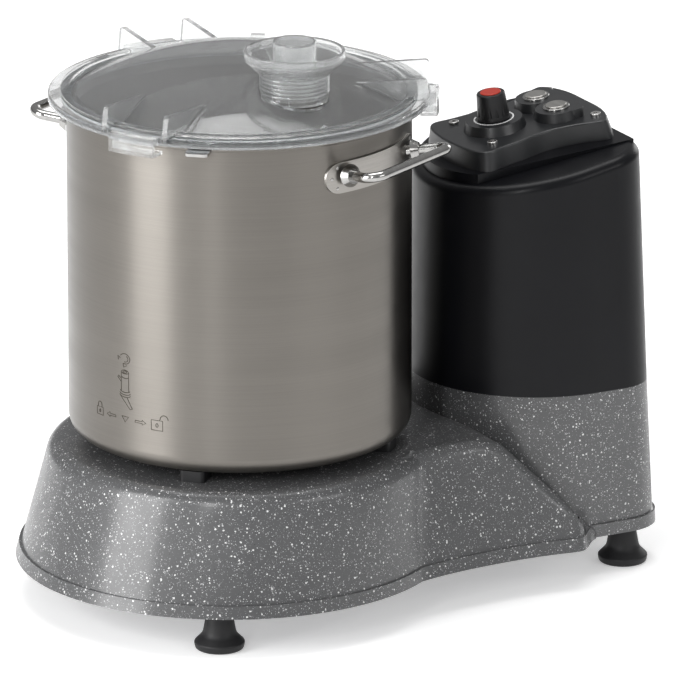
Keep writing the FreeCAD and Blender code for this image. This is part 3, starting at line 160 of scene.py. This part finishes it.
# Signs etched on the bowl: their place on the wall, then the row's places and sizes in millimetres
SIGN_TURN = radians(-158.9)
ROW_HEIGHT = 153 * MM
SPINDLE_HEIGHT = 166 * MM
SPINDLE_SQUASH = 0.8
ETCH_RADIUS = 0.3 * MM
ETCH_SINK = 0.05 * MM
LOCKED_PLACE = -26
LOCKED_SIZE = 7
OPEN_PLACE = 27
OPEN_SIZE = 9
ARROW_PLACE = 13.5


# Camera and studio


def add_camera():
    """Camera at the photograph's place, looking the same way."""
    data = bpy.data.cameras.new("photo_camera")
    data.lens = LENS_MM
    data.sensor_width = SENSOR_MM
    data.clip_end = CAMERA_REACH
    camera = bpy.data.objects.new("photo_camera", data)
    bpy.context.collection.objects.link(camera)
    camera.location = CAMERA_FROM_BOWL + Vector((BOWL_X, 0, 0))
    camera.rotation_euler = CAMERA_AHEAD.to_track_quat("-Z", "Y").to_euler()
    bpy.context.scene.camera = camera


def add_softbox(name, place, width, height, watts):
    """One rectangular area light, turned to the machine."""
    data = bpy.data.lights.new(name, "AREA")
    data.shape = "RECTANGLE"
    data.size = width
    data.size_y = height
    data.energy = watts
    lamp = bpy.data.objects.new(name, data)
    bpy.context.collection.objects.link(lamp)
    lamp.location = place
    lamp.rotation_euler = (SOFTBOX_AIM - Vector(place)).to_track_quat("-Z", "Y").to_euler()


def light_sky():
    """Pale sky that grows lighter from the horizon up."""
    world = bpy.data.worlds.new("studio")
    world.use_nodes = True
    bpy.context.scene.world = world
    tree = world.node_tree
    background = tree.nodes["Background"]
    place = tree.nodes.new("ShaderNodeTexCoord")
    split = tree.nodes.new("ShaderNodeSeparateXYZ")
    ramp = tree.nodes.new("ShaderNodeValToRGB")
    horizon, overhead = ramp.color_ramp.elements
    horizon.position = 0.0
    horizon.color = HORIZON_TONE
    overhead.position = OVERHEAD_FROM
    overhead.color = OVERHEAD_TONE
    tree.links.new(place.outputs["Generated"], split.inputs[0])
    tree.links.new(split.outputs["Z"], ramp.inputs[0])
    tree.links.new(ramp.outputs[0], background.inputs["Color"])
    background.inputs["Strength"].default_value = SKY_STRENGTH


def light_studio():
    for softbox in SOFTBOXES:
        add_softbox(*softbox)
    light_sky()
    bpy.context.scene.view_settings.view_transform = "Standard"


def lay_floor():
    """Plain pale paper under the feet."""
    shape = bmesh.new()
    bmesh.ops.create_grid(shape, x_segments=1, y_segments=1, size=FLOOR_HALF)
    mesh = bpy.data.meshes.new("floor")
    shape.to_mesh(mesh)
    shape.free()
    floor = bpy.data.objects.new("floor", mesh)
    bpy.context.collection.objects.link(floor)
    floor.location.z = -FLOOR_DROP
    paper = bpy.data.materials.new("floor_paper")
    paper.use_nodes = True
    shader = paper.node_tree.nodes["Principled BSDF"]
    shader.inputs["Base Color"].default_value = FLOOR_TONE
    shader.inputs["Roughness"].default_value = FLOOR_ROUGHNESS
    shader.inputs["Emission Color"].default_value = (1, 1, 1, 1)
    shader.inputs["Emission Strength"].default_value = FLOOR_GLOW
    mesh.materials.append(paper)


# Finishes


class Finish:
    """A procedural material on Object coordinates, built up by its methods."""

    def __init__(self, name, color, roughness, metallic=0.0):
        self.material = bpy.data.materials.new(name)
        self.material.use_nodes = True
        self.tree = self.material.node_tree
        self.shader = self.tree.nodes["Principled BSDF"]
        self.color = (*color, 1)
        self.shader.inputs["Base Color"].default_value = self.color
        self.shader.inputs["Roughness"].default_value = roughness
        self.shader.inputs["Metallic"].default_value = metallic
        self.place = self.node("ShaderNodeTexCoord").outputs["Object"]
        self.painted = None
        self.normal = None

    def node(self, kind, **settings):
        """Add a node to the material, with its own settings."""
        made = self.tree.nodes.new(kind)
        for key, value in settings.items():
            setattr(made, key, value)
        return made

    def link(self, output, target):
        self.tree.links.new(output, target)
        return self

    def value(self, **sockets):
        """Set shader sockets, with underscores for spaces in their names."""
        for key, amount in sockets.items():
            self.shader.inputs[key.replace("_", " ")].default_value = amount
        return self

    def stretched(self, scale, centre=(0, 0, 0)):
        """Coordinates with a scale of their own along each axis, measured from a centre."""
        mapping = self.node("ShaderNodeMapping")
        mapping.inputs["Scale"].default_value = scale
        mapping.inputs["Location"].default_value = [-c * s for c, s in zip(centre, scale)]
        self.link(self.place, mapping.inputs["Vector"])
        return mapping.outputs["Vector"]

    def noise(self, scale, detail=3.0, roughness=0.5, place=None):
        made = self.node("ShaderNodeTexNoise")
        made.inputs["Scale"].default_value = scale
        made.inputs["Detail"].default_value = detail
        made.inputs["Roughness"].default_value = roughness
        self.link(place or self.place, made.inputs["Vector"])
        return made.outputs["Fac"]

    def spread(self, source, low, high, span=(0.3, 0.7)):
        """Stretch the middle span of a pattern to run from low to high."""
        made = self.node("ShaderNodeMapRange")
        made.inputs["From Min"].default_value = span[0]
        made.inputs["From Max"].default_value = span[1]
        made.inputs["To Min"].default_value = low
        made.inputs["To Max"].default_value = high
        self.link(source, made.inputs["Value"])
        return made.outputs["Result"]

    def tone(self, source, dark, light, span=(0.3, 0.7)):
        """Let the colour drift between two shares of itself along a pattern."""
        made = self.node("ShaderNodeMix", data_type="RGBA")
        made.inputs["A"].default_value = [c * dark for c in self.color[:3]] + [1]
        made.inputs["B"].default_value = [min(c * light, 1) for c in self.color[:3]] + [1]
        self.link(self.spread(source, 0, 1, span), made.inputs["Factor"])
        return self.paint(made.outputs["Result"])

    def paint(self, output):
        """Make a colour the one that shows, and remember it for layers on top."""
        self.painted = output
        return self.link(output, self.shader.inputs["Base Color"])

    def gloss(self, source, low, high, span=(0.3, 0.7)):
        """Let the roughness run from low to high along a pattern."""
        return self.link(self.spread(source, low, high, span), self.shader.inputs["Roughness"])

    def bump(self, source, height_mm, strength=1.0):
        """Raise the surface along a pattern, on top of any bump before it."""
        made = self.node("ShaderNodeBump")
        made.inputs["Distance"].default_value = height_mm * MM
        made.inputs["Strength"].default_value = strength
        self.link(source, made.inputs["Height"])
        if self.normal:
            self.link(self.normal, made.inputs["Normal"])
        self.normal = made.outputs["Normal"]
        return self.link(self.normal, self.shader.inputs["Normal"])


def speckled_enamel():
    """Glossy grey enamel with white specks of mixed sizes, and a few dark ones."""
    grey = Finish("speckled_enamel", (0.066, 0.067, 0.069), 0.42)
    grey.tone(grey.noise(9), 0.88, 1.1)
    ground = grey.painted
    wobble = grey.node("ShaderNodeMix", data_type="VECTOR")
    wobble.inputs["Factor"].default_value = SPECK_WOBBLE
    ripple = grey.node("ShaderNodeTexNoise")
    ripple.inputs["Scale"].default_value = SPECK_RIPPLE
    grey.link(grey.place, ripple.inputs["Vector"])
    grey.link(grey.place, wobble.inputs["A"])
    grey.link(ripple.outputs["Color"], wobble.inputs["B"])
    for scale, largest, share, color in SPECKS:
        cells = grey.node("ShaderNodeTexVoronoi")
        cells.inputs["Scale"].default_value = scale
        grey.link(wobble.outputs["Result"], cells.inputs["Vector"])
        chance = grey.node("ShaderNodeSeparateColor")
        grey.link(cells.outputs["Color"], chance.inputs["Color"])
        size = grey.spread(chance.outputs["Red"], 0.0, largest, (1 - share, 1.0))
        inside = grey.node("ShaderNodeMath", operation="LESS_THAN")
        grey.link(cells.outputs["Distance"], inside.inputs[0])
        grey.link(size, inside.inputs[1])
        layer = grey.node("ShaderNodeMix", data_type="RGBA")
        grey.link(inside.outputs[0], layer.inputs["Factor"])
        grey.link(ground, layer.inputs["A"])
        layer.inputs["B"].default_value = color
        ground = layer.outputs["Result"]
    grey.paint(ground)
    grey.gloss(grey.noise(60), 0.36, 0.5)
    grey.bump(grey.noise(420, 2), 0.05, 0.5)
    return grey.value(Coat_Weight=0.55, Coat_Roughness=0.2, Coat_IOR=1.5).material


def turned_steel():
    """Stainless steel brushed round the bowl, with fine lines and soft bands of gloss."""
    steel = Finish("turned_steel", (0.186, 0.174, 0.158), 0.34, 1.0)
    centre = (BOWL_X, 0, 0)
    lines = steel.noise(1.0, 4, 0.6, steel.stretched((10, 10, 1500), centre))
    bands = steel.noise(1.0, 2, 0.5, steel.stretched((3, 3, 60), centre))
    steel.tone(lines, 0.95, 1.04)
    steel.gloss(bands, 0.30, 0.36)
    steel.bump(lines, 0.004, 0.2)
    tangent = steel.node("ShaderNodeTangent", direction_type="RADIAL", axis="Z")
    steel.link(tangent.outputs[0], steel.shader.inputs["Tangent"])
    return steel.value(Anisotropic=0.75, Anisotropic_Rotation=0.25).material


def ground_steel(name, color, low, high, stretch=(400, 30, 30)):
    """Ground or polished steel, with fine lines across the direction of the largest stretch."""
    steel = Finish(name, color, low, 1.0)
    lines = steel.noise(1.0, 3, 0.6, steel.stretched(stretch))
    steel.tone(lines, 0.9, 1.08)
    steel.gloss(lines, low, high)
    return steel.bump(lines, 0.008, 0.3).material


def moulded(name, color, low, high, grain=900, height_mm=0.02, coat=0.0, gleam=0.35):
    """Moulded plastic or rubber with a fine grain."""
    plastic = Finish(name, color, low)
    plastic.tone(plastic.noise(26), 0.9, 1.12)
    plastic.gloss(plastic.noise(70), low, high)
    plastic.bump(plastic.noise(grain, 2), height_mm, 0.5)
    return plastic.value(Coat_Weight=coat, Coat_Roughness=0.15, Specular_IOR_Level=gleam).material


def clear_plastic():
    """Clear polycarbonate with a little haze and fine scratches."""
    clear = Finish("clear_polycarbonate", (0.92, 0.93, 0.93), 0.05)
    marks = clear.noise(1.0, 4, 0.7, clear.stretched((900, 60, 300)))
    clear.gloss(marks, 0.008, 0.03)
    clear.tone(clear.noise(14), 0.985, 1.0)
    return clear.value(Transmission_Weight=0.92, IOR=1.47, Alpha=0.84).material


def cast_metal(name, color, low=0.42, high=0.6):
    """Cast or painted metal with a slightly pitted skin."""
    metal = Finish(name, color, low, 1.0)
    metal.tone(metal.noise(60), 0.85, 1.1)
    metal.gloss(metal.noise(140), low, high)
    return metal.bump(metal.noise(700, 3), 0.05, 0.6).material


def striped(name, color, pitch_mm, metallic, roughness):
    """Stacked sheets or wound wire: even lines across the height."""
    stack = Finish(name, color, roughness, metallic)
    waves = stack.node("ShaderNodeTexWave", bands_direction="Z")
    waves.inputs["Scale"].default_value = 1 / (pitch_mm * MM * WAVE_RATE) * 2 * pi
    stack.link(stack.place, waves.inputs["Vector"])
    stack.tone(waves.outputs["Fac"], 0.7, 1.15, (0, 1))
    return stack.bump(waves.outputs["Fac"], 0.1, 0.7).material


def finishes():
    """Every finish of the machine, by material slot or by the piece that needs its own."""
    return {
        "base_enamel": speckled_enamel(),
        "cover_black": moulded("satin_black", (0.0040, 0.0042, 0.0055), 0.30, 0.36, 1400, 0.012, gleam=0.2),
        "panel_dark": moulded("panel_plastic", (0.0135, 0.0145, 0.0160), 0.30, 0.38, 1200, 0.02, gleam=0.6),
        "bowl_steel": turned_steel(),
        "polished_steel": ground_steel("polished_stainless", (0.40, 0.395, 0.385), 0.12, 0.2),
        "button_steel": ground_steel("button_steel", (0.46, 0.45, 0.43), 0.3, 0.4),
        "plate_steel": ground_steel("brushed_plate", (0.34, 0.325, 0.305), 0.26, 0.36, (20, 20, 900)),
        "blade_steel": ground_steel("ground_blade", (0.5, 0.51, 0.53), 0.22, 0.36),
        "lid_clear": clear_plastic(),
        "seal_grey": moulded("silicone_seal", (0.72, 0.76, 0.79), 0.45, 0.6),
        "foot_rubber": moulded("black_rubber", (0.012, 0.012, 0.013), 0.42, 0.6, 600, 0.04),
        "knob_black": moulded("knob_plastic", (0.010, 0.010, 0.011), 0.3, 0.42),
        "knob_red": moulded("knob_insert", (0.42, 0.022, 0.006), 0.3, 0.4, 700, 0.02, 0.2),
        "cast_aluminium": cast_metal("cast_aluminium", (0.55, 0.56, 0.57)),
        "shaft_steel": ground_steel("ground_shaft", (0.45, 0.46, 0.47), 0.25, 0.4, (30, 30, 500)),
        "zinc_screw": ground_steel("plated_screw", (0.62, 0.61, 0.6), 0.2, 0.32),
        "motor_paint": moulded("motor_paint", (0.02, 0.022, 0.025), 0.4, 0.55, 500, 0.05),
        "winding_copper": striped("copper_winding", (0.55, 0.2, 0.08), 1.2, 0.8, 0.35),
        "lamination": striped("stacked_sheet", (0.25, 0.25, 0.26), 1.0, 0.9, 0.4),
        "belt_rubber": moulded("belt_rubber", (0.012, 0.012, 0.012), 0.55, 0.7, 500, 0.05),
        "inner_plastic": moulded("switch_plastic", (0.04, 0.04, 0.042), 0.4, 0.55),
        "board_green": moulded("board_lacquer", (0.01, 0.09, 0.03), 0.3, 0.4, 300, 0.05, 0.4),
        "plate_zinc": cast_metal("painted_sheet", (0.2, 0.2, 0.21), 0.45, 0.6),
        "print_white": moulded("white_print", (0.7, 0.7, 0.7), 0.5, 0.6),
        "etched_dark": moulded("etched_mark", (0.045, 0.036, 0.026), 0.5, 0.65),
    }


# The machine's own nodes


def dress_nodes(looks):
    """Give every node the finish of its slot, or its own."""
    for part in frame["record"]["subparts"]:
        item = frame["nodes"][part["node"]]
        look = looks[OWN_LOOK.get(part["node"], part["material_slot"])]
        if item.material_slots:
            for holder in item.material_slots:
                holder.material = look
        else:
            item.data.materials.append(look)


# New pieces


def add_piece(name, data, body):
    """Add a mesh or a curve to the machine, riding on its body."""
    item = bpy.data.objects.new(name, data)
    bpy.context.collection.objects.link(item)
    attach(item, body)
    return item


def finish_piece(name, shape, body, look, smooth=True):
    """Make a bmesh a piece of the machine, with its doubles merged and its normals out."""
    bmesh.ops.remove_doubles(shape, verts=shape.verts, dist=0.001 * MM)
    bmesh.ops.recalc_face_normals(shape, faces=shape.faces)
    for face in shape.faces:
        face.smooth = smooth
    mesh = bpy.data.meshes.new(name)
    shape.to_mesh(mesh)
    shape.free()
    mesh.materials.append(look)
    return add_piece(name, mesh, body)


def on_crest(edge):
    """True for the outer edge where a fender's top meets its side."""
    if len(edge.link_faces) != 2 or edge.calc_face_angle_signed(0) < CREST_TURN:
        return False
    first, second = (vert.co for vert in edge.verts)
    for end in (first, second):
        beside_bowl = abs(end.y) > CREST_SIDE and end.x > BOWL_X + CREST_START
        if not beside_bowl or not CREST_LOW < end.z < CREST_HIGH:
            return False
    return abs(first.x - second.x) > CREST_RUN


def soft_casting(looks):
    """The base casting again, with the fenders' top edges rounded."""
    shape = bmesh.new()
    shape.from_mesh(frame["nodes"]["base_body"].data)
    bmesh.ops.remove_doubles(shape, verts=shape.verts, dist=CASTING_MERGE)
    bmesh.ops.dissolve_limit(shape, angle_limit=CASTING_FLAT, verts=shape.verts[:], edges=shape.edges[:])
    crest = [edge for edge in shape.edges if on_crest(edge)]
    bmesh.ops.bevel(shape, geom=crest, offset=CREST_ROUND, offset_type="OFFSET", segments=CREST_STEPS,
                    profile=0.5, affect="EDGES", material=-1, clamp_overlap=False)
    item = finish_piece("soft_casting", shape, "base", looks["base_enamel"])
    item.data.set_sharp_from_angle(angle=CASTING_SHARP)
    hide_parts("base_body")


def spun_ring(shape, radius, height, bead):
    """Round bead about the vertical axis, added to a bmesh."""
    made = bmesh.ops.create_circle(shape, segments=BEAD_SIDES, radius=bead)
    bmesh.ops.rotate(shape, verts=made["verts"], matrix=Matrix.Rotation(pi / 2, 3, "X"))
    bmesh.ops.translate(shape, verts=made["verts"], vec=(radius, 0, height))
    edges = list({edge for vert in made["verts"] for edge in vert.link_edges})
    bmesh.ops.spin(shape, geom=made["verts"] + edges, cent=(0, 0, 0), axis=(0, 0, 1), angle=2 * pi,
                   steps=RING_STEPS, use_merge=True)


def funnel_beads(looks):
    """Moulded rings round the funnel's neck."""
    shape = bmesh.new()
    for index in range(NECK_BEADS):
        spun_ring(shape, NECK_RADIUS, NECK_BEAD_LOW + index * NECK_BEAD_PITCH, NECK_BEAD_RADIUS)
    neck_x, neck_y, _ = middle_of("feed_funnel")
    bmesh.ops.translate(shape, verts=shape.verts, vec=(neck_x, neck_y, 0))
    finish_piece("funnel_beads", shape, "lid", looks["lid_clear"])


def dial_line(looks):
    """Printed white line round the speed knob, open at the back."""
    shape = bmesh.new()
    made = bmesh.ops.create_grid(shape, x_segments=1, y_segments=1, size=0.5)
    bmesh.ops.rotate(shape, verts=made["verts"], matrix=Matrix.Rotation(pi / 2, 3, "X"))
    bmesh.ops.scale(shape, verts=made["verts"], vec=(DIAL_WIDTH, 1, DIAL_THICK))
    lift = POD_HEIGHT + DIAL_THICK / 2
    bmesh.ops.translate(shape, verts=made["verts"], vec=(DIAL_INNER + DIAL_WIDTH / 2, 0, lift))
    start = radians(90) - DIAL_SWEEP / 2 - pi
    bmesh.ops.rotate(shape, verts=shape.verts, matrix=Matrix.Rotation(start, 3, "Z"))
    section = shape.verts[:] + shape.edges[:] + shape.faces[:]
    bmesh.ops.spin(shape, geom=section, cent=(0, 0, 0), axis=(0, 0, 1), angle=DIAL_SWEEP, steps=DIAL_STEPS)
    bmesh.ops.rotate(shape, verts=shape.verts, matrix=Matrix.Rotation(-PANEL_TILT, 3, "Y"))
    bmesh.ops.translate(shape, verts=shape.verts, vec=KNOB_FOOT)
    finish_piece("dial_line", shape, "base", looks["print_white"], smooth=False)


def weld_dot(shape, turn, rise):
    """One flattened dot on the face of a handle plate."""
    made = bmesh.ops.create_uvsphere(shape, u_segments=DOT_SIDES, v_segments=DOT_RINGS, radius=DOT_RADIUS)
    bmesh.ops.scale(shape, verts=made["verts"], vec=(DOT_FLATNESS, 1, 1))
    bmesh.ops.translate(shape, verts=made["verts"], vec=(PLATE_FACE, 0, PLATE_HEIGHT + rise))
    round_bowl = Matrix.Rotation(turn, 3, "Z")
    bmesh.ops.rotate(shape, verts=made["verts"], cent=(0, 0, 0), matrix=round_bowl)


def weld_dots(looks):
    """Three spot welds at each end of the two handle plates."""
    shape = bmesh.new()
    for middle in HANDLE_TURNS:
        for side in (-1, 1):
            for along, rise in DOT_PLACES:
                weld_dot(shape, middle + side * along / BOWL_RADIUS, rise)
    bmesh.ops.translate(shape, verts=shape.verts, vec=(BOWL_X, 0, 0))
    finish_piece("weld_dots", shape, "bowl", looks["polished_steel"])


# Signs on the bowl, as lines of points in millimetres: u runs round the wall and v up it


def arc(u, v, radius, start, end, flat=1.0, count=12):
    """Points on an arc between two angles in degrees, flattened in height by flat."""
    turns = [radians(start + (end - start) * index / count) for index in range(count + 1)]
    return [(u + radius * cos(turn), v + radius * flat * sin(turn)) for turn in turns]


def box_outline(u, v, width, height):
    w, h = width / 2, height / 2
    return [(u - w, v - h), (u + w, v - h), (u + w, v + h), (u - w, v + h), (u - w, v - h)]


def padlock(u, size, lifted):
    """A generic padlock sign: closed, or with its bow swung out."""
    body = box_outline(u, 0, size, size * 0.8)
    keyhole = arc(u, 0, size * 0.1, 0, 360, 1.5)
    top = size * 0.4
    if lifted:
        bow = [(u + size * 0.2, top)]
        bow += arc(u + size * 0.62, top + size * 0.12, size * 0.34, 180, 0)
    else:
        bow = [(u - size * 0.3, top)]
        bow += arc(u, top + size * 0.25, size * 0.3, 180, 0)
        bow += [(u + size * 0.3, top)]
    return [body, keyhole, bow]


def block_arrow(u, way):
    """Outline of an arrow that points left or right."""
    tip, neck, head, shaft = 4.5, 1.5, 1.8, 0.7
    outline = [(-tip, shaft), (neck, shaft), (neck, head), (tip, 0),
               (neck, -head), (neck, -shaft), (-tip, -shaft), (-tip, shaft)]
    return [[(u + way * x, y) for x, y in outline]]


def pointer():
    """Small triangle between the arrows, pointing down."""
    return [[(-3, 1.6), (3, 1.6), (0, -2.4), (-3, 1.6)]]


def spindle_sign():
    """Generic sign of the knife on its spindle, with a turn arrow above it."""
    turn_arrow = [arc(0, 38, 4.6, 150, -110), [(-1.6, 33.7), (-1.2, 30.2), (1.9, 32.2)],
                  arc(0, 38, 2.9, 60, -100), [(-4, 38), (-6.6, 39.6), (-6.0, 36.0)]]
    hub = [[(-3.4, 8.5), (-3.4, 26)], [(3.4, 8.5), (3.4, 26)], arc(0, 26, 3.4, 0, 360, 0.5),
           arc(0, 26, 1.8, 0, 360, 0.5), arc(0, 22, 3.4, 180, 360, 0.5)]
    hub_foot = [arc(0, low, reach, 180, 360, 0.45) for low, reach in ((9.5, 4.4), (7.4, 4.8), (5.4, 4.8))]
    blades = [[(-4.6, 4.6), (4.6, -7.0), (6.6, -6.0), (2.0, 3.0)],
              [(-3.4, 16.5), (-6.8, 20.4), (-6.0, 21.8), (-3.4, 19.6)]]
    return turn_arrow + hub + hub_foot + blades


def etch(data, lines, height, squash):
    """Lay lines of points on the bowl's wall, with v measured from a height."""
    reach = BOWL_RADIUS - ETCH_SINK
    for line in lines:
        spline = data.splines.new("POLY")
        spline.points.add(len(line) - 1)
        for point, (u, v) in zip(spline.points, line):
            turn = SIGN_TURN + u * MM / BOWL_RADIUS
            point.co = (BOWL_X + reach * cos(turn), reach * sin(turn), height + v * MM * squash, 1)


def etched_signs(looks):
    """Fine etched lines on the bowl's wall: how the bowl locks, and how the knife goes on."""
    row = padlock(LOCKED_PLACE, LOCKED_SIZE, False) + block_arrow(-ARROW_PLACE, -1) + pointer()
    row += block_arrow(ARROW_PLACE, 1) + padlock(OPEN_PLACE, OPEN_SIZE, True)
    data = bpy.data.curves.new("etched_signs", "CURVE")
    data.dimensions = "3D"
    data.bevel_depth = ETCH_RADIUS
    data.bevel_resolution = 1
    etch(data, row, ROW_HEIGHT, 1)
    etch(data, spindle_sign(), SPINDLE_HEIGHT, SPINDLE_SQUASH)
    data.materials.append(looks["etched_dark"])
    add_piece("etched_signs", data, "bowl")


add_camera()
light_studio()
lay_floor()
all_looks = finishes()
dress_nodes(all_looks)
soft_casting(all_looks)
funnel_beads(all_looks)
dial_line(all_looks)
weld_dots(all_looks)
etched_signs(all_looks)
